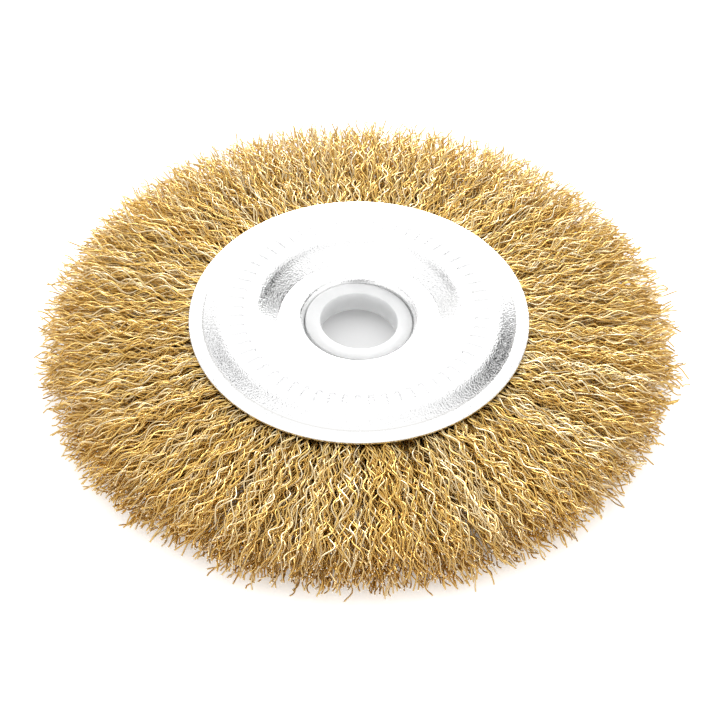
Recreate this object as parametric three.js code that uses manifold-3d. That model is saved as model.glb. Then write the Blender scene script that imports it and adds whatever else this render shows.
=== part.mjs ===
// Crimped wire wheel brush, 127 mm across, for the spindle of a bench grinder.
//
// Two dished steel plates clamp a ring of folded brass-coated wires. The top plate's drawn
// collar passes through the bottom plate's hole and is flared over it, and its bore takes a
// loose nylon reducing bush. The wires are folded over a round steel ring and fan out from it.
//
// Millimetres, +Z up. The origin is on the bore's axis, midway between the plates.

import * as THREE from 'three';
import { mergeVertices } from 'three/addons/utils/BufferGeometryUtils.js';
import Module from 'manifold-3d';

const wasm = await Module();
wasm.setup();

// Driving dimensions
const WHEEL_RADIUS = 63.5;
const TIP_HALF_WIDTH = 5.0;
const TIP_CHAMFER = 3.0;
const SHEET = 0.6;
const GAP = 0.3;

const PLATE_RADIUS = 34.75;
const RIM_INNER_RADIUS = 32.1;
const CROWN_OUTER_RADIUS = 29.0;
const CROWN_INNER_RADIUS = 21.5;
const RECESS_RADIUS = 16.9;
const RIM_HEIGHT = 4.5;
const CROWN_HEIGHT = 5.6;
const RECESS_HEIGHT = 3.1;

const HUB_BORE_RADIUS = 11.25;
const COLLAR_BEND_RADIUS = 0.9;
const FLARE_RADIUS = 13.6;

const BUSH_RADIUS = 11.0;
const BUSH_BORE_RADIUS = 7.95;
const BUSH_LENGTH = 4.8;
const BUSH_CHAMFER = 0.4;

const RING_RADIUS = 23.4;
const RING_WIRE_RADIUS = 1.8;
const HANK_COUNT = 30;
const HANK_INNER_RADIUS = 19.0;

// How finely the round shapes are cut
const PLATE_SEGMENTS = 60;
const RING_SEGMENTS = 60;
const RING_SIDES = 10;
const BEND_STEPS = 3;
const HANK_ARC_SEGMENTS = 60;

const zincSteel = new THREE.MeshStandardMaterial({ color: 0xdcdcda, roughness: 0.28, metalness: 1.0 });
const ringSteel = new THREE.MeshStandardMaterial({ color: 0x8d8f92, roughness: 0.45, metalness: 1.0 });
const brassWire = new THREE.MeshStandardMaterial({ color: 0xcda24c, roughness: 0.38, metalness: 1.0 });
const nylon = new THREE.MeshStandardMaterial({ color: 0xeef0f0, roughness: 0.42, metalness: 0.0 });

const radial = (radius, height) => new THREE.Vector2(radius, height);

// Points along an arc in the radius-height plane, both ends included. Angles are in degrees,
// from the outward direction.
function bend(centre, radius, fromAngle, toAngle, steps) {
  const points = [];
  for (let i = 0; i <= steps; i += 1) {
    const angle = THREE.MathUtils.degToRad(THREE.MathUtils.lerp(fromAngle, toAngle, i / steps));
    points.push(radial(centre.x + radius * Math.cos(angle), centre.y + radius * Math.sin(angle)));
  }
  return points;
}

// Turns an outline around the Z axis. The outline closes on itself.
function turned(outline, segments) {
  const anticlockwise = THREE.ShapeUtils.isClockWise(outline) ? [...outline].reverse() : outline;
  const closed = [...anticlockwise, anticlockwise[0].clone()];
  const geometry = new THREE.LatheGeometry(closed, segments);
  geometry.rotateX(Math.PI / 2);
  return geometry;
}

function toSolid(geometry) {
  const bare = geometry.clone();
  bare.deleteAttribute('normal');
  bare.deleteAttribute('uv');
  const merged = mergeVertices(bare, 1e-4);
  return new wasm.Manifold(new wasm.Mesh({
    numProp: 3,
    vertProperties: new Float32Array(merged.attributes.position.array),
    triVerts: new Uint32Array(merged.index.array),
  }));
}

function toGeometry(solid) {
  const mesh = solid.getMesh();
  const geometry = new THREE.BufferGeometry();
  geometry.setAttribute('position', new THREE.BufferAttribute(mesh.vertProperties, 3));
  geometry.setIndex(new THREE.BufferAttribute(mesh.triVerts, 1));
  return geometry;
}

function named(name, geometry, material) {
  const mesh = new THREE.Mesh(geometry, material);
  mesh.name = name;
  return mesh;
}

// The outer face of a plate from its rim to the edge of its recess, at a given depth in the sheet.
function plateFace(depth) {
  return [
    radial(PLATE_RADIUS, RIM_HEIGHT - depth),
    radial(RIM_INNER_RADIUS, RIM_HEIGHT - depth),
    radial(CROWN_OUTER_RADIUS, CROWN_HEIGHT - depth),
    radial(CROWN_INNER_RADIUS, CROWN_HEIGHT - depth),
    radial(RECESS_RADIUS, RECESS_HEIGHT - depth),
  ];
}

// The top plate, drawn down into the collar that lines the hub and flared out under the other plate.
function topPlate() {
  const insideBend = COLLAR_BEND_RADIUS - SHEET;
  const bendCentre = HUB_BORE_RADIUS + COLLAR_BEND_RADIUS;
  const upper = radial(bendCentre, RECESS_HEIGHT - COLLAR_BEND_RADIUS);
  const flareTop = -RECESS_HEIGHT - GAP;
  const lower = radial(bendCentre, flareTop + insideBend);
  const outline = [
    ...plateFace(0),
    ...bend(upper, COLLAR_BEND_RADIUS, 90, 180, BEND_STEPS),
    ...bend(lower, COLLAR_BEND_RADIUS, 180, 270, BEND_STEPS),
    radial(FLARE_RADIUS, flareTop - SHEET),
    radial(FLARE_RADIUS, flareTop),
    ...bend(lower, insideBend, 270, 180, 1),
    ...bend(upper, insideBend, 180, 90, 1),
    ...plateFace(SHEET).reverse(),
  ];
  return named('top_plate', turned(outline, PLATE_SEGMENTS), zincSteel);
}

// The bottom plate is the same pressing, upside down, with a plain hole around the collar.
function bottomPlate() {
  const holeRadius = HUB_BORE_RADIUS + SHEET + GAP;
  const upright = [
    ...plateFace(0),
    radial(holeRadius, RECESS_HEIGHT),
    radial(holeRadius, RECESS_HEIGHT - SHEET),
    ...plateFace(SHEET).reverse(),
  ];
  const outline = upright.map((point) => radial(point.x, -point.y));
  return named('bottom_plate', turned(outline, PLATE_SEGMENTS), zincSteel);
}

function reducingBush() {
  const halfLength = BUSH_LENGTH / 2;
  const top = [
    radial(BUSH_BORE_RADIUS, halfLength - BUSH_CHAMFER),
    radial(BUSH_BORE_RADIUS + BUSH_CHAMFER, halfLength),
    radial(BUSH_RADIUS - BUSH_CHAMFER, halfLength),
    radial(BUSH_RADIUS, halfLength - BUSH_CHAMFER),
  ];
  const bottom = top.map((point) => radial(point.x, -point.y)).reverse();
  return named('reducing_bush', turned([...top, ...bottom], PLATE_SEGMENTS), nylon);
}

function ringGeometry(wireRadius) {
  const section = bend(radial(RING_RADIUS, 0), wireRadius, 0, 360, RING_SIDES);
  section.pop();
  return turned(section, RING_SEGMENTS);
}

// The ring of folded wires, whole, as one outline around the retaining ring.
function wireFillGeometry() {
  const crownHalf = CROWN_HEIGHT - SHEET - 2 * GAP;
  const rimHalf = RIM_HEIGHT - SHEET - GAP;
  const upper = [
    ...bend(radial(RING_RADIUS, 0), RING_RADIUS - HANK_INNER_RADIUS, 180, 90, BEND_STEPS),
    radial(CROWN_OUTER_RADIUS, crownHalf),
    radial(RIM_INNER_RADIUS, rimHalf),
    radial(PLATE_RADIUS, rimHalf),
    radial(WHEEL_RADIUS - TIP_CHAMFER, TIP_HALF_WIDTH),
    radial(WHEEL_RADIUS, TIP_HALF_WIDTH - TIP_CHAMFER),
  ];
  const lower = upper.slice(1).map((point) => radial(point.x, -point.y)).reverse();
  return turned([...upper, ...lower], HANK_ARC_SEGMENTS);
}

// A wedge between two planes through the axis, each moved in by half a gap.
function wedgeGeometry(halfAngle) {
  const apex = GAP / 2 / Math.sin(halfAngle);
  const reach = WHEEL_RADIUS * 1.2;
  const slice = new THREE.Shape([
    new THREE.Vector2(apex, 0),
    new THREE.Vector2(apex + reach * Math.cos(halfAngle), -reach * Math.sin(halfAngle)),
    new THREE.Vector2(apex + reach * Math.cos(halfAngle), reach * Math.sin(halfAngle)),
  ]);
  const height = 4 * CROWN_HEIGHT;
  const geometry = new THREE.ExtrudeGeometry(slice, { depth: height, bevelEnabled: false });
  geometry.translate(0, 0, -height / 2);
  return geometry;
}

// Each hank is one wedge of the folded wires, with the retaining ring's tunnel through its fold.
function wireHanks() {
  const step = (2 * Math.PI) / HANK_COUNT;
  const ringTunnel = toSolid(ringGeometry(RING_WIRE_RADIUS + GAP));
  const fill = toSolid(wireFillGeometry()).subtract(ringTunnel);
  const hanks = [];
  for (let i = 0; i < HANK_COUNT; i += 1) {
    const wedge = wedgeGeometry(step / 2);
    wedge.rotateZ(step * (i + 0.5));
    const name = `wire_hank_${String(i + 1).padStart(2, '0')}`;
    hanks.push(named(name, toGeometry(fill.intersect(toSolid(wedge))), brassWire));
  }
  return hanks;
}

const wheelBrush = new THREE.Group();
wheelBrush.add(topPlate());
wheelBrush.add(bottomPlate());
wheelBrush.add(named('retaining_ring', ringGeometry(RING_WIRE_RADIUS), ringSteel));
wheelBrush.add(reducingBush());
wheelBrush.add(...wireHanks());

export default wheelBrush;
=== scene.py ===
"""Looks of the crimped wire wheel brush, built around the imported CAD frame. Metres throughout."""

import math

import bpy
import numpy as np
from mathutils import Matrix, Vector


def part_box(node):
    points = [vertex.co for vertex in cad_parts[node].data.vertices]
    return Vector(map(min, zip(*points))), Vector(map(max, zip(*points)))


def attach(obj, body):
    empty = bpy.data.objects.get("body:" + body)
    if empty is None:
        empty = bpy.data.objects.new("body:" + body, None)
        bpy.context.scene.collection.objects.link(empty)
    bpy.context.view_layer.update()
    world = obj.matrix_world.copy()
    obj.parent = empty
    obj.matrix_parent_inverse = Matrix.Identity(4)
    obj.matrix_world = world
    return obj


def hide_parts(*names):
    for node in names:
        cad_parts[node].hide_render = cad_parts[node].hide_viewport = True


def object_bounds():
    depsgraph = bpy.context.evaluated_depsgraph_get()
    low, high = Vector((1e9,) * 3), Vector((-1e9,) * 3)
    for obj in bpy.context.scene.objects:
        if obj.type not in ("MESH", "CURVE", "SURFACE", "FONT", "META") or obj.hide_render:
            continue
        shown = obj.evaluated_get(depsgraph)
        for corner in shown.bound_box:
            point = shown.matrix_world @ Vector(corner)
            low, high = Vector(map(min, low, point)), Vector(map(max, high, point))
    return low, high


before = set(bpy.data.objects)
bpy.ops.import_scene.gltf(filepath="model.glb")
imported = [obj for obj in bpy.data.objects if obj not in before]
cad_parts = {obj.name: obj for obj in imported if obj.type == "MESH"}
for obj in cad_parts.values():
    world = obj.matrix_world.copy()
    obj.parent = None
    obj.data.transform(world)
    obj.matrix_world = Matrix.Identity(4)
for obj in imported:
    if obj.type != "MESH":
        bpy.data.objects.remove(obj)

cad_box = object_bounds()

MM = 0.001
SEED = 7
RING_WIRE_RADIUS = 1.8 * MM

# Sizes that the frame gives
PLATE_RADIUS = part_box("top_plate")[1].x
CROWN_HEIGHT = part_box("top_plate")[1].z
BUSH_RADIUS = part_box("reducing_bush")[1].x
BUSH_HALF_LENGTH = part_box("reducing_bush")[1].z
RING_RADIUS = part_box("retaining_ring")[1].x - RING_WIRE_RADIUS
FLOOR_HEIGHT = cad_box[0].z

# The plates' pressing: where each bend lies and how round it is
SHEET = 0.6 * MM
GAP = 0.3 * MM
RIM_HEIGHT = CROWN_HEIGHT - 1.1 * MM
RECESS_HEIGHT = CROWN_HEIGHT - 2.5 * MM
RIM_INNER_RADIUS = 32.1 * MM
CROWN_OUTER_RADIUS = 28.7 * MM
CROWN_INNER_RADIUS = 21.1 * MM
RECESS_RADIUS = 16.5 * MM
RIM_STEP = 0.20 * MM
RIM_STEP_WIDTH = 0.45 * MM
HUB_BORE_RADIUS = 11.25 * MM
COLLAR_BEND = 1.3 * MM
FLARE_RADIUS = 13.6 * MM
CROWN_FILLET = 8.0 * MM
RECESS_FILLET = 0.8 * MM
STEP_FILLET = 0.25 * MM
RIM_FILLET = 0.18 * MM
FLARE_FILLET = 0.2 * MM
EDGE_FILLET = 0.1 * MM

# The bush, and how it sits in the hub
BUSH_BORE_RADIUS = 7.95 * MM
BUSH_TILT = math.radians(2.5)
BUSH_SHIFT = Vector((-0.10, -0.08, 0)) * MM
BUSH_CHAMFER = 0.18 * MM

# How finely the turned pieces are cut
PLATE_SEGMENTS = 540
BUSH_SEGMENTS = 160
RING_SEGMENTS = 180
RING_SIDES = 20
FILLET_STEPS = 6
CROWN_ROWS = 18
CROWN_ROW_LENGTH = (CROWN_OUTER_RADIUS - CROWN_INNER_RADIUS) / CROWN_ROWS

# Blank bars stamped into the crown, all round
MARK_COUNT = 60
MARK_INNER_RADIUS = 23.6 * MM
MARK_OUTER_RADIUS = 26.8 * MM
MARK_HALF_WIDTH = 0.50 * MM
MARK_DEPTH = 0.12 * MM
MARK_EDGE = 0.35 * MM

# The wires. Neighbouring wires lie in strands that share their crimp's phase and direction.
HANK_COUNT = 30
WIRES_PER_HANK = 90
STRANDS_PER_HANK = 44
STRAND_SPREAD = 0.006
WIRE_RADIUS = 0.15 * MM
WIRE_SIDES = 5
WIRE_TO_PLATE = 0.05 * MM
CUT_END = 0.07 * MM
CRIMP_PITCH = 6.5 * MM
CRIMP_SWING = 0.70 * MM
WEAVE_LENGTH = 11.0 * MM
WEAVE_SWING = 0.75 * MM
POINTS_PER_CRIMP = 9
FOLD_POINTS = 7
HIDDEN_POINTS = 4
CRIMP_START = 33.0 * MM
FAN_START = 30.0 * MM
TIP_RADIUS = 64.1 * MM
TIP_ROUNDING = 3.4 * MM
TIP_HALF_WIDTH = 5.0 * MM
WIDEST = 5.35 * MM

# How the wires differ. Each pair is the spread that a whole strand shares and each wire's own spread.
TIP_SPREAD = (0.9 * MM, 0.6 * MM)
LEAN_SPREAD = (1.6 * MM, 0.9 * MM)
BOW_SPREAD = (1.2 * MM, 0.5 * MM)
LIFT_SPREAD = (0.5 * MM, 0.3 * MM)
SWING_SPREAD = (0.18, 0.10)
PITCH_SPREAD = (0.07, 0.02)
PLANE_SPREAD = (0.55, 0.20)
TWIST_SPREAD = (0.60, 0.15)
LONGEST_CUT = 0.7 * MM
USUAL_TRIM = 1.1 * MM
STRAY_SHARE = 0.05
STRAY_LEAN = 3.0 * MM
STRAY_REACH = 1.5 * MM

# Slow waves round the wheel that gather the tips in tufts: waves in a turn, and swing in millimetres
TUFTS = ((37, 0.40), (61, 0.45), (97, 0.45), (149, 0.30))
TUFT_REACH = 0.5

# The surround: its brightness, and its dark places as direction, outer angle, inner angle, darkness.
# Angles are in degrees. The last place is brighter than the rest, so its darkness is below zero.
WORLD_LEVEL = 1.16
DARK_PLACES = (
    ((0.49, 0.56, 0.66), 13, 6, 0.96),
    ((0.51, 0.43, 0.75), 12, 6, 0.96),
    ((0.37, 0.31, 0.88), 9, 3, 0.40),
    ((-0.43, 0.46, 0.77), 9, 4, 0.95),
    ((0.08, 0.19, 0.98), 7, 2, 0.35),
    ((-0.39, 0.69, 0.61), 13, 5, 0.26),
    ((0.42, 0.69, 0.59), 11, 5, 0.20),
    ((0.82, 0.57, 0.00), 38, 15, 0.40),
    ((-0.82, 0.57, 0.00), 38, 15, 0.50),
    ((0.00, -0.87, 0.49), 32, 12, 0.55),
    ((0.00, 1.00, 0.10), 40, 12, -2.00),
)

# The key light behind the wheel, a soft square
KEY_PLACE = (0, 0.80, 0.32)
KEY_SIDE = 0.4
KEY_WATTS = 3.7

# The floor's light from below: weak under the wheel, full outside it
FLOOR_SIDE = 6.0
FLOOR_GLOW_UNDER = 0.11
FLOOR_GLOW_AROUND = 0.75
GLOW_START_RADIUS = 54 * MM
GLOW_FULL_RADIUS = 74 * MM

# The camera, in front of the wheel and above it
CAMERA_PLACE = Vector((0, -217.3, 220.9)) * MM
CAMERA_AIM = Vector((0.3, -9.0, 0)) * MM
CAMERA_ROLL = math.radians(0.7)
CAMERA_LENS = 75


# ---------------------------------------------------------------- mesh helpers

def new_piece(name, vertices, quads, caps=()):
    """A mesh object from arrays: quads shaded smooth, and the wires' end caps shaded flat."""
    mesh = bpy.data.meshes.new(name)
    quads = np.asarray(quads, np.int32)
    caps = np.asarray(caps, np.int32).reshape(-1, WIRE_SIDES)
    loops = np.concatenate([quads.ravel(), caps.ravel()])
    cap_starts = len(quads) * 4 + np.arange(len(caps)) * WIRE_SIDES
    starts = np.concatenate([np.arange(len(quads)) * 4, cap_starts])
    mesh.vertices.add(len(vertices))
    mesh.vertices.foreach_set("co", np.asarray(vertices, np.float32).ravel())
    mesh.loops.add(len(loops))
    mesh.loops.foreach_set("vertex_index", loops)
    mesh.polygons.add(len(starts))
    mesh.polygons.foreach_set("loop_start", starts.astype(np.int32))
    smooth = np.ones(len(starts), bool)
    smooth[len(quads):] = False
    mesh.polygons.foreach_set("use_smooth", smooth)
    mesh.update(calc_edges=True)
    mesh.validate()
    piece = bpy.data.objects.new(name, mesh)
    bpy.context.scene.collection.objects.link(piece)
    return piece


def filleted(corners):
    """Outline points from (radius, height, fillet) corners of a closed outline, each rounded by an arc."""
    points = []
    count = len(corners)
    for i, (x, y, fillet) in enumerate(corners):
        here = np.array([x, y])
        back = np.array(corners[i - 1][:2]) - here
        on = np.array(corners[(i + 1) % count][:2]) - here
        back_length, on_length = np.linalg.norm(back), np.linalg.norm(on)
        back, on = back / back_length, on / on_length
        turn = math.acos(np.clip(back @ on, -1, 1))
        reach = min(fillet / math.tan(turn / 2), 0.49 * back_length, 0.49 * on_length)
        radius = reach * math.tan(turn / 2)
        middle = here + (back + on) / np.linalg.norm(back + on) * radius / math.sin(turn / 2)
        first = here + back * reach - middle
        last = here + on * reach - middle
        sweep = math.pi - turn
        for step in range(FILLET_STEPS + 1):
            part = step / FILLET_STEPS
            arm = math.sin((1 - part) * sweep) * first + math.sin(part * sweep) * last
            arm = arm / math.sin(sweep)
            points.append(middle + arm)
    return np.array(points)


def divided(points, longest):
    """The closed outline, cut into parts no longer than longest from the recess to the crown's outer edge."""
    result = []
    for here, there in zip(points, np.roll(points, -1, axis=0)):
        result.append(here)
        inside = max(here[0], there[0]) <= CROWN_OUTER_RADIUS and min(here[0], there[0]) >= RECESS_RADIUS
        parts = max(1, math.ceil(np.linalg.norm(there - here) / longest)) if inside else 1
        for part in range(1, parts):
            result.append(here + (there - here) * part / parts)
    return np.array(result)


def turned(name, outline, segments, relief=None):
    """The closed outline turned round Z. relief(x, y, radius) lifts its points, and is kept as "stamp"."""
    next_corner = np.roll(outline, -1, axis=0)
    twice_area = np.sum(outline[:, 0] * next_corner[:, 1] - next_corner[:, 0] * outline[:, 1])
    if twice_area < 0:
        outline = outline[::-1]
    angle = np.arange(segments) * 2 * math.pi / segments
    radius = np.broadcast_to(outline[:, 0], (segments, len(outline)))
    x = radius * np.cos(angle)[:, None]
    y = radius * np.sin(angle)[:, None]
    z = np.broadcast_to(outline[:, 1], radius.shape)
    lift = np.zeros(radius.shape) if relief is None else relief(x, y, radius)
    z = z + lift
    rows = len(outline)
    here = np.arange(segments)[:, None] * rows + np.arange(rows)[None, :]
    up = np.roll(here, -1, axis=1)
    on = np.roll(here, -1, axis=0)
    on_up = np.roll(on, -1, axis=1)
    quads = np.stack([here, on, on_up, up], axis=-1).reshape(-1, 4)
    vertices = np.stack([x, y, z], axis=-1).reshape(-1, 3)
    piece = new_piece(name, vertices, quads)
    stamp = piece.data.attributes.new("stamp", "FLOAT", "POINT")
    stamp.data.foreach_set("value", (np.abs(lift) / MARK_DEPTH).ravel().astype(np.float32))
    return piece


# ---------------------------------------------------------------- the metal and nylon pieces

def face_corners(depth):
    """The plate's face from rim to recess, at a depth in the sheet, with the pressing's fillets."""
    return [
        (PLATE_RADIUS, RIM_HEIGHT - depth, RIM_FILLET),
        (RIM_INNER_RADIUS, RIM_HEIGHT - depth, STEP_FILLET),
        (RIM_INNER_RADIUS - RIM_STEP_WIDTH, RIM_HEIGHT + RIM_STEP - depth, STEP_FILLET),
        (CROWN_OUTER_RADIUS, CROWN_HEIGHT - depth, CROWN_FILLET),
        (CROWN_INNER_RADIUS, CROWN_HEIGHT - depth, CROWN_FILLET),
        (RECESS_RADIUS, RECESS_HEIGHT - depth, RECESS_FILLET),
    ]


def marks(x, y, radius):
    """How far the blank bars lower the crown's surface, as heights of zero or less."""
    step = 2 * math.pi / MARK_COUNT
    angle = np.arctan2(y, x)
    across = np.abs((angle / step - np.round(angle / step)) * step * radius)
    bar = np.clip((MARK_HALF_WIDTH - across) / MARK_EDGE + 0.5, 0, 1)
    inner = np.clip((radius - MARK_INNER_RADIUS) / MARK_EDGE + 0.5, 0, 1)
    outer = np.clip((MARK_OUTER_RADIUS - radius) / MARK_EDGE + 0.5, 0, 1)
    shape = bar * inner * outer
    return -MARK_DEPTH * shape * shape * (3 - 2 * shape)


def marks_on_face(side):
    """The stamped bars in the upper plate's top (side 1) or the lower plate's underside (side -1)."""
    return lambda x, y, radius: side * marks(x, y, radius)


def top_plate():
    """The plate in view: rim, crown, recess, and the collar down through the hub to its flare."""
    bend_centre = HUB_BORE_RADIUS + COLLAR_BEND
    flare_top = -RECESS_HEIGHT - GAP
    inside_bend = COLLAR_BEND - SHEET
    corners = face_corners(0) + [
        (HUB_BORE_RADIUS, RECESS_HEIGHT, COLLAR_BEND),
        (HUB_BORE_RADIUS, flare_top - SHEET, COLLAR_BEND),
        (FLARE_RADIUS, flare_top - SHEET, FLARE_FILLET),
        (FLARE_RADIUS, flare_top, EDGE_FILLET),
        (bend_centre - inside_bend, flare_top, inside_bend),
        (bend_centre - inside_bend, RECESS_HEIGHT - SHEET, inside_bend),
    ] + face_corners(SHEET)[::-1]
    outline = divided(filleted(corners), CROWN_ROW_LENGTH)
    return turned("pressed_top_plate", outline, PLATE_SEGMENTS, marks_on_face(1))


def bottom_plate():
    """The same pressing upside down, with a plain hole round the collar."""
    hole = HUB_BORE_RADIUS + SHEET + GAP
    corners = face_corners(0) + [
        (hole, RECESS_HEIGHT, EDGE_FILLET),
        (hole, RECESS_HEIGHT - SHEET, EDGE_FILLET),
    ] + face_corners(SHEET)[::-1]
    outline = divided(filleted(corners), CROWN_ROW_LENGTH)
    outline[:, 1] *= -1
    return turned("pressed_bottom_plate", outline, PLATE_SEGMENTS, marks_on_face(-1))


def reducing_bush():
    """The loose bush, a little cocked within its clearance, lower at the right."""
    half = BUSH_HALF_LENGTH
    corners = [
        (BUSH_RADIUS, half, BUSH_CHAMFER),
        (BUSH_BORE_RADIUS, half, BUSH_CHAMFER),
        (BUSH_BORE_RADIUS, -half, BUSH_CHAMFER),
        (BUSH_RADIUS, -half, BUSH_CHAMFER),
    ]
    bush = turned("nylon_bush", filleted(corners), BUSH_SEGMENTS)
    bush.data.transform(Matrix.Translation(BUSH_SHIFT) @ Matrix.Rotation(BUSH_TILT, 4, "Y"))
    return bush


def retaining_ring():
    """The round ring inside, which every wire is folded over."""
    section = [
        (RING_RADIUS + RING_WIRE_RADIUS * math.cos(a), RING_WIRE_RADIUS * math.sin(a))
        for a in np.arange(RING_SIDES) * 2 * math.pi / RING_SIDES
    ]
    return turned("round_steel_ring", np.array(section), RING_SEGMENTS)


# ---------------------------------------------------------------- the wires

def plate_clearance(radius):
    """Half the height between the plates' inner faces, and half the fan's height outside them."""
    inner = CROWN_HEIGHT - SHEET
    rim = RIM_HEIGHT - SHEET
    return np.interp(
        radius,
        [CROWN_OUTER_RADIUS, RIM_INNER_RADIUS, PLATE_RADIUS, TIP_RADIUS],
        [inner, rim, rim, TIP_HALF_WIDTH],
    )


def tuft_drift(angle, layer, phases):
    """Sideways drift of the tips, shared by neighbouring wires, in millimetres."""
    drift = 0
    for (waves, swing), (phase, slant) in zip(TUFTS, phases):
        drift = drift + swing * np.sin(waves * angle + phase + slant * layer)
    return drift


def shared(draw, strand, spreads):
    """One value for each wire: a part that its whole strand shares and a smaller part of its own."""
    strand_spread, own_spread = spreads
    strand_part = draw.normal(0, strand_spread, STRANDS_PER_HANK)[strand]
    return strand_part + draw.normal(0, own_spread, len(strand))


def crimp_wave(draw, strand, radius, ramp, fan):
    """The crimp's sideways and upward swing along each wire."""
    swing = CRIMP_SWING * np.clip(1 + shared(draw, strand, SWING_SPREAD), 0.5, 1.6)
    pitch = CRIMP_PITCH * (1 + shared(draw, strand, PITCH_SPREAD))
    phase = draw.uniform(0, 2 * math.pi, STRANDS_PER_HANK)[strand] + draw.normal(0, 0.7, len(strand))
    plane = shared(draw, strand, PLANE_SPREAD)[:, None]
    plane = plane + shared(draw, strand, TWIST_SPREAD)[:, None] * fan
    wave_angle = 2 * math.pi * radius / pitch[:, None] + phase[:, None]
    wander = 0.3 * np.sin(0.43 * wave_angle + draw.uniform(0, 2 * math.pi, len(strand))[:, None])
    wave = swing[:, None] * ramp * (np.sin(wave_angle) + wander)
    return wave * np.cos(plane), wave * np.sin(plane)


def weave(draw, radius):
    """The slow rise and fall that takes each wire over and under its neighbours."""
    count = len(radius)
    length = WEAVE_LENGTH * draw.uniform(0.7, 1.3, count)[:, None]
    phase = draw.uniform(0, 2 * math.pi, count)[:, None]
    return WEAVE_SWING * np.sin(2 * math.pi * radius / length + phase)


def tip_radii(draw, strand, angle, layer, tip_layer, stray, tufts):
    """How far each leg reaches: a rounded rim, uneven lengths, tufts and a few stray tips."""
    count = len(angle)
    tip = TIP_RADIUS - TIP_ROUNDING * tip_layer**2
    tip += shared(draw, strand, TIP_SPREAD)
    tip += LONGEST_CUT - draw.exponential(USUAL_TRIM, count)
    tuft = tuft_drift(angle, 1.7 * layer, tufts) * TUFT_REACH * MM
    tip += tuft + stray * draw.uniform(0, STRAY_REACH, count)
    return tip


def leg_radii(tip):
    """How far each point of each leg lies from the axis: a few under the plates, the crimp, the cut end."""
    visible = int((TIP_RADIUS - CRIMP_START) / CRIMP_PITCH * POINTS_PER_CRIMP)
    hidden = np.linspace(RING_RADIUS, CRIMP_START, HIDDEN_POINTS, endpoint=False)
    out = CRIMP_START + (tip[:, None] - CRIMP_START) * np.linspace(0, 1, visible)[None, :]
    cut = tip[:, None] + CUT_END
    return np.concatenate([np.broadcast_to(hidden, (len(tip), HIDDEN_POINTS)), out, cut], axis=1)


def leg_path(draw, strand, angle, offset, side, depth, tufts):
    """One leg of each wire, from above the retaining ring to its tip, in the wire's own radial frame."""
    count = len(angle)
    layer = side * depth
    tip_layer = np.clip(layer + draw.normal(0, 0.10, count), -1.06, 1.06)
    stray = np.where(draw.random(count) < STRAY_SHARE, 1, 0)
    tip = tip_radii(draw, strand, angle, layer, tip_layer, stray, tufts[1])
    lean = shared(draw, strand, LEAN_SPREAD) + stray * draw.normal(0, STRAY_LEAN, count)
    bow = shared(draw, strand, BOW_SPREAD)
    lift = shared(draw, strand, LIFT_SPREAD)
    gather = tuft_drift(angle, layer, tufts[0]) * MM - 0.7 * offset * tip
    radius = leg_radii(tip)
    fan = np.clip((radius - FAN_START) / (tip[:, None] - FAN_START), 0, 1)

    ramp = np.clip((radius - FAN_START) / (4 * MM), 0.2, 1)
    wave_y, wave_z = crimp_wave(draw, strand, radius, ramp, fan)
    clear = plate_clearance(radius) - WIRE_RADIUS - WIRE_TO_PLATE
    free = np.clip((radius - PLATE_RADIUS) / (4 * MM), 0, 1)
    wave_z *= 0.35 + 0.65 * free
    room = clear - (1 - free) * np.abs(wave_z) - 0.8 * free * WEAVE_SWING
    spread = np.clip((radius - RING_RADIUS) / (6 * MM), 0, 1)
    spread = spread * spread * (3 - 2 * spread)
    blend = fan**1.5
    level = layer[:, None] * (1 - blend) + tip_layer[:, None] * blend
    z = side[:, None] * fold_height(depth)[:, None] * (1 - spread) + level * room * spread
    z += (lift[:, None] * fan * (1 - fan) * 2.5 + weave(draw, radius)) * free + wave_z
    y = lean[:, None] * fan**1.2 + gather[:, None] * fan**3 + wave_y
    y += bow[:, None] * fan * (1 - fan) * 1.6
    return np.stack([radius, y, np.clip(z, -WIDEST, WIDEST)], axis=-1), fan


def fold_height(depth):
    """How far each wire's fold lies from the retaining ring's centre."""
    return RING_WIRE_RADIUS + 0.4 * MM + depth * 1.9 * MM


def fold_path(depth):
    """Each wire's bend around the inside of the retaining ring, from its upper leg to its lower leg."""
    height = fold_height(depth)[:, None]
    angle = np.linspace(0.5 * math.pi, 1.5 * math.pi, FOLD_POINTS + 2)[1:-1][None, :]
    radius = RING_RADIUS + height * np.cos(angle)
    z = height * np.sin(angle)
    return np.stack([radius, np.zeros_like(radius), z], axis=-1)


def strands_of_hank(draw, index):
    """Each wire's strand, its angle, its offset from the strand's middle and its depth between the plates."""
    strand = np.sort(draw.integers(0, STRANDS_PER_HANK, WIRES_PER_HANK))
    step = 2 * math.pi / HANK_COUNT
    places = (np.arange(STRANDS_PER_HANK) + draw.uniform(0, 1, STRANDS_PER_HANK)) / STRANDS_PER_HANK
    offset = draw.normal(0, STRAND_SPREAD, WIRES_PER_HANK)
    angle = step * (index + places[strand]) + offset
    depths = draw.permutation(places) ** 0.85
    depth = np.clip(depths[strand] + draw.normal(0, 0.06, WIRES_PER_HANK), 0, 1)
    return strand, angle, offset, depth


def wire_skin(path, thin):
    """Points around each wire's path, drawn in at the cut ends."""
    along = np.gradient(path, axis=1)
    along /= np.linalg.norm(along, axis=-1, keepdims=True)
    sideways = np.array([0.0, 1.0, 0.0]) - along[..., 1:2] * along
    sideways /= np.linalg.norm(sideways, axis=-1, keepdims=True)
    upward = np.cross(along, sideways)
    around = (np.arange(WIRE_SIDES) * 2 * math.pi / WIRE_SIDES)[None, None, :, None]
    arms = np.cos(around) * sideways[:, :, None] + np.sin(around) * upward[:, :, None]
    return path[:, :, None] + WIRE_RADIUS * thin[:, :, None, None] * arms


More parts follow.
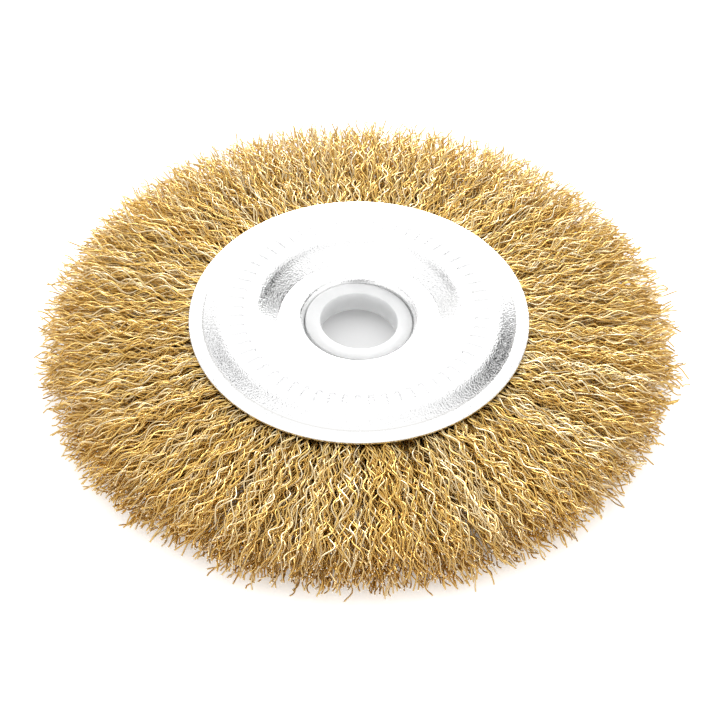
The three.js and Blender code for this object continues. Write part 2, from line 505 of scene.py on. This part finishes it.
def wires_of_hank(index, tufts):
    """One piece holding every folded wire of one hank."""
    draw = np.random.default_rng(SEED * 1000 + index)
    strand, angle, offset, depth = strands_of_hank(draw, index)
    count = len(angle)
    upper, upper_fan = leg_path(draw, strand, angle, offset, np.ones(count), depth, tufts)
    lower, lower_fan = leg_path(draw, strand, angle, offset, -np.ones(count), depth, tufts)
    fold = fold_path(depth)
    path = np.concatenate([upper[:, ::-1], fold, lower], axis=1)
    fan = np.concatenate([upper_fan[:, ::-1], np.zeros(fold.shape[:2]), lower_fan], axis=1)
    cut = np.zeros(fan.shape)
    cut[:, [0, -1]] = 1

    skin = wire_skin(path, 1 - 0.3 * cut)
    turn_cos = np.cos(angle)[:, None, None]
    turn_sin = np.sin(angle)[:, None, None]
    x = skin[..., 0] * turn_cos - skin[..., 1] * turn_sin
    y = skin[..., 0] * turn_sin + skin[..., 1] * turn_cos
    vertices = np.stack([x, y, skin[..., 2]], axis=-1)

    points = path.shape[1]
    grid = np.arange(count * points * WIRE_SIDES).reshape(count, points, WIRE_SIDES)
    near, far = grid[:, :-1], grid[:, 1:]
    quads = np.stack([near, np.roll(near, -1, 2), np.roll(far, -1, 2), far], axis=-1).reshape(-1, 4)
    caps = np.concatenate([grid[:, 0, ::-1], grid[:, -1]])
    piece = new_piece(f"crimped_wires_{index + 1:02d}", vertices.reshape(-1, 3), quads, caps)

    tone = np.broadcast_to(draw.random(count)[:, None], fan.shape)
    for name, values in (("tone", tone), ("to_tip", fan), ("cut", cut)):
        attribute = piece.data.attributes.new(name, "FLOAT", "POINT")
        attribute.data.foreach_set("value", np.repeat(values.ravel(), WIRE_SIDES).astype(np.float32))
    return piece


# ---------------------------------------------------------------- materials

class Nodes:
    """A short way to build a node tree: each call adds one node, sets its values and returns it."""

    def __init__(self, name):
        self.material = bpy.data.materials.new(name)
        self.material.use_nodes = True
        self.tree = self.material.node_tree
        self.shader = self.tree.nodes["Principled BSDF"]

    def add(self, kind, inputs=None, **settings):
        node = self.tree.nodes.new(kind)
        for key, value in settings.items():
            setattr(node, key, value)
        for key, value in (inputs or {}).items():
            self.feed(node, key, value)
        return node

    def feed(self, node, key, value):
        if isinstance(value, bpy.types.NodeSocket):
            self.tree.links.new(value, node.inputs[key])
        else:
            node.inputs[key].default_value = value

    def set(self, **inputs):
        for key, value in inputs.items():
            self.feed(self.shader, key.replace("_", " ").title(), value)

    def noise(self, place, scale, detail, roughness):
        inputs = {"Vector": place, "Scale": scale, "Detail": detail, "Roughness": roughness}
        return self.add("ShaderNodeTexNoise", inputs).outputs["Fac"]

    def ramp(self, value, stops):
        node = self.add("ShaderNodeValToRGB", {"Fac": value})
        elements = node.color_ramp.elements
        while len(elements) < len(stops):
            elements.new(0.5)
        for element, (place, colour) in zip(elements, stops):
            element.position = place
            element.color = (*colour, 1)
        return node.outputs["Color"]

    def span(self, value, low, high, start=0.0, end=1.0):
        return self.add(
            "ShaderNodeMapRange",
            {"Value": value, "From Min": start, "From Max": end, "To Min": low, "To Max": high},
        ).outputs["Result"]

    def mix(self, share, first, second):
        node = self.add("ShaderNodeMix", data_type="RGBA")
        self.feed(node, 0, share)
        self.feed(node, 6, first)
        self.feed(node, 7, second)
        return node.outputs[2]

    def bump(self, height, distance, strength):
        return self.add(
            "ShaderNodeBump", {"Height": height, "Distance": distance, "Strength": strength}
        ).outputs["Normal"]

    def place(self):
        return self.add("ShaderNodeTexCoord").outputs["Object"]

    def attribute(self, name):
        return self.add("ShaderNodeAttribute", attribute_name=name).outputs["Fac"]


def distance_from_bore(n, place):
    """The distance of each point from the wheel's axis."""
    flat = n.add("ShaderNodeVectorMath", {0: place, 1: (1, 1, 0)}, operation="MULTIPLY").outputs["Vector"]
    return n.add("ShaderNodeVectorMath", {0: flat}, operation="LENGTH").outputs["Value"]


def plate_steel():
    """Bright zinc plate: a fine speckled grain and faint smears, with painted shade on the stamped bars'
    walls and along the rim's step fold.
    """
    n = Nodes("plate_steel")
    place = n.place()
    grain = n.noise(place, 3000, 1.5, 0.5)
    smear = n.noise(place, 90, 4.0, 0.55)
    sheen = n.ramp(smear, [(0.3, (0.93, 0.93, 0.935)), (0.7, (0.965, 0.965, 0.96))])
    # Painted shade: the stamped bars' walls are darkened in the base colour, where their tilt would shade
    # them.
    stamp_stops = [(0.05, (0, 0, 0)), (0.5, (1, 1, 1)), (0.95, (0.2, 0.2, 0.2))]
    bar_wall_shade = n.ramp(n.attribute("stamp"), stamp_stops)
    smears_and_painted_shade = n.mix(bar_wall_shade, sheen, (0.78, 0.78, 0.79, 1))
    # Painted shade: a darker line along the rim's step, where its crease would be shaded.
    fold_start = RIM_INNER_RADIUS - RIM_STEP_WIDTH - 0.1 * MM
    fold_end = RIM_INNER_RADIUS + 0.1 * MM
    across_fold = n.span(distance_from_bore(n, place), 0, 1, fold_start, fold_end)
    fold = n.ramp(across_fold, [(0.1, (0, 0, 0)), (0.5, (0.8, 0.8, 0.8)), (0.9, (0, 0, 0))])
    n.set(
        base_color=n.mix(fold, smears_and_painted_shade, (0.70, 0.69, 0.67, 1)),
        metallic=1.0,
        roughness=n.span(smear, 0.09, 0.15, 0.3, 0.7),
        normal=n.bump(grain, 0.08 * MM, 1.0),
    )
    return n.material


def brass_wire():
    """Brass-coated wire: each wire its own tone, browner towards the tip, with a bright steel cut end."""
    n = Nodes("brass_wire")
    place = n.place()
    tone = n.attribute("tone")
    to_tip = n.attribute("to_tip")
    stain = n.noise(place, 700, 3.0, 0.6)
    gold_stops = [(0.0, (0.83, 0.55, 0.15)), (0.5, (0.94, 0.69, 0.27)), (1.0, (0.98, 0.86, 0.60))]
    gold = n.ramp(tone, gold_stops)
    stained = n.mix(n.span(stain, 0.0, 0.32, 0.5, 0.8), gold, (0.52, 0.29, 0.07, 1))
    tipped = n.mix(n.span(to_tip, 0.0, 0.45, 0.88, 1.0), stained, (0.46, 0.26, 0.09, 1))
    n.set(
        base_color=n.mix(n.attribute("cut"), tipped, (0.78, 0.74, 0.66, 1)),
        metallic=1.0,
        roughness=n.span(stain, 0.28, 0.44, 0.3, 0.7),
    )
    return n.material


def ring_steel():
    """Plain drawn steel with a dull grain."""
    n = Nodes("ring_steel")
    grain = n.noise(n.place(), 1500, 3.0, 0.6)
    n.set(
        base_color=n.ramp(grain, [(0.3, (0.40, 0.40, 0.41)), (0.7, (0.58, 0.58, 0.59))]),
        metallic=1.0,
        roughness=n.span(grain, 0.35, 0.55),
        normal=n.bump(grain, 0.02 * MM, 0.4),
    )
    return n.material


def milky_nylon():
    """Natural nylon: milky and translucent, with a faint moulded texture."""
    n = Nodes("milky_nylon")
    place = n.place()
    cloud = n.noise(place, 260, 3.0, 0.5)
    grain = n.noise(place, 3000, 2.0, 0.5)
    n.set(
        base_color=n.ramp(cloud, [(0.3, (0.66, 0.665, 0.665)), (0.7, (0.72, 0.725, 0.725))]),
        roughness=n.span(grain, 0.36, 0.48),
        normal=n.bump(grain, 0.015 * MM, 0.4),
        subsurface_weight=0.85,
        subsurface_radius=(1.0, 1.0, 1.0),
        subsurface_scale=7 * MM,
    )
    return n.material


# ---------------------------------------------------------------- stage, light and camera

def pale_floor():
    """A plain white floor that glows all round the wheel, so that the wheel casts only a narrow shadow."""
    bpy.ops.mesh.primitive_plane_add(size=FLOOR_SIDE, location=(0, 0, FLOOR_HEIGHT))
    floor = bpy.context.object
    floor.name = "floor"
    n = Nodes("pale_floor")
    distance = distance_from_bore(n, n.place())
    glow = n.span(distance, FLOOR_GLOW_UNDER, FLOOR_GLOW_AROUND, GLOW_START_RADIUS, GLOW_FULL_RADIUS)
    n.set(
        base_color=(0.95, 0.95, 0.95, 1),
        roughness=0.9,
        emission_color=(1, 1, 1, 1),
        emission_strength=glow,
    )
    floor.data.materials.append(n.material)


def key_light():
    """One soft square light behind the wheel, aimed at its middle."""
    data = bpy.data.lights.new("key", "AREA")
    data.shape = "RECTANGLE"
    data.size = KEY_SIDE
    data.size_y = KEY_SIDE
    data.energy = KEY_WATTS
    light = bpy.data.objects.new("key", data)
    bpy.context.scene.collection.objects.link(light)
    light.location = KEY_PLACE
    light.rotation_mode = "QUATERNION"
    light.rotation_quaternion = (-Vector(KEY_PLACE)).to_track_quat("-Z", "Y")


def studio_world():
    """A white surround with soft dark places, which the plates mirror as grey patches."""
    world = bpy.data.worlds.new("studio")
    world.use_nodes = True
    tree = world.node_tree
    background = tree.nodes["Background"]
    direction = tree.nodes.new("ShaderNodeTexCoord").outputs["Generated"]
    level = tree.nodes.new("ShaderNodeValue")
    level.outputs[0].default_value = WORLD_LEVEL
    light = level.outputs[0]
    for towards, outer, inner, darkness in DARK_PLACES:
        dot = tree.nodes.new("ShaderNodeVectorMath")
        dot.operation = "DOT_PRODUCT"
        dot.inputs[1].default_value = Vector(towards).normalized()
        tree.links.new(direction, dot.inputs[0])
        shade = tree.nodes.new("ShaderNodeMapRange")
        shade.interpolation_type = "SMOOTHSTEP"
        tree.links.new(dot.outputs["Value"], shade.inputs["Value"])
        shade.inputs["From Min"].default_value = math.cos(math.radians(outer))
        shade.inputs["From Max"].default_value = math.cos(math.radians(inner))
        shade.inputs["To Min"].default_value = 1.0
        shade.inputs["To Max"].default_value = 1.0 - darkness
        times = tree.nodes.new("ShaderNodeMath")
        times.operation = "MULTIPLY"
        tree.links.new(light, times.inputs[0])
        tree.links.new(shade.outputs["Result"], times.inputs[1])
        light = times.outputs["Value"]
    tree.links.new(light, background.inputs["Strength"])
    background.inputs["Color"].default_value = (1, 1, 1, 1)
    bpy.context.scene.world = world


def photo_camera():
    """The camera as it stood for the picture."""
    data = bpy.data.cameras.new("camera")
    data.lens = CAMERA_LENS
    data.sensor_width = 36
    camera = bpy.data.objects.new("camera", data)
    bpy.context.scene.collection.objects.link(camera)
    roll = Matrix.Rotation(CAMERA_ROLL, 4, "Z")
    facing = (CAMERA_AIM - CAMERA_PLACE).to_track_quat("-Z", "Y").to_matrix().to_4x4()
    camera.matrix_world = Matrix.Translation(CAMERA_PLACE) @ facing @ roll
    data.clip_start = 0.01
    bpy.context.scene.camera = camera


# ---------------------------------------------------------------- assembly

def dress(piece, node, body, material):
    """Puts a piece in place of its CAD node."""
    piece.data.materials.append(material)
    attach(piece, body)
    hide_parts(node)


photo_camera()
pale_floor()
studio_world()
key_light()

steel = plate_steel()
dress(top_plate(), "top_plate", "wheel", steel)
dress(bottom_plate(), "bottom_plate", "wheel", steel)
dress(retaining_ring(), "retaining_ring", "wheel", ring_steel())
dress(reducing_bush(), "reducing_bush", "bush", milky_nylon())

tuft_draw = np.random.default_rng(SEED)
shared_tufts = [[tuft_draw.uniform(0, 2 * math.pi, 2) for _ in TUFTS] for _ in range(2)]
brass = brass_wire()
for hank in range(HANK_COUNT):
    dress(wires_of_hank(hank, shared_tufts), f"wire_hank_{hank + 1:02d}", "wheel", brass)

bpy.context.scene.view_settings.view_transform = "Standard"
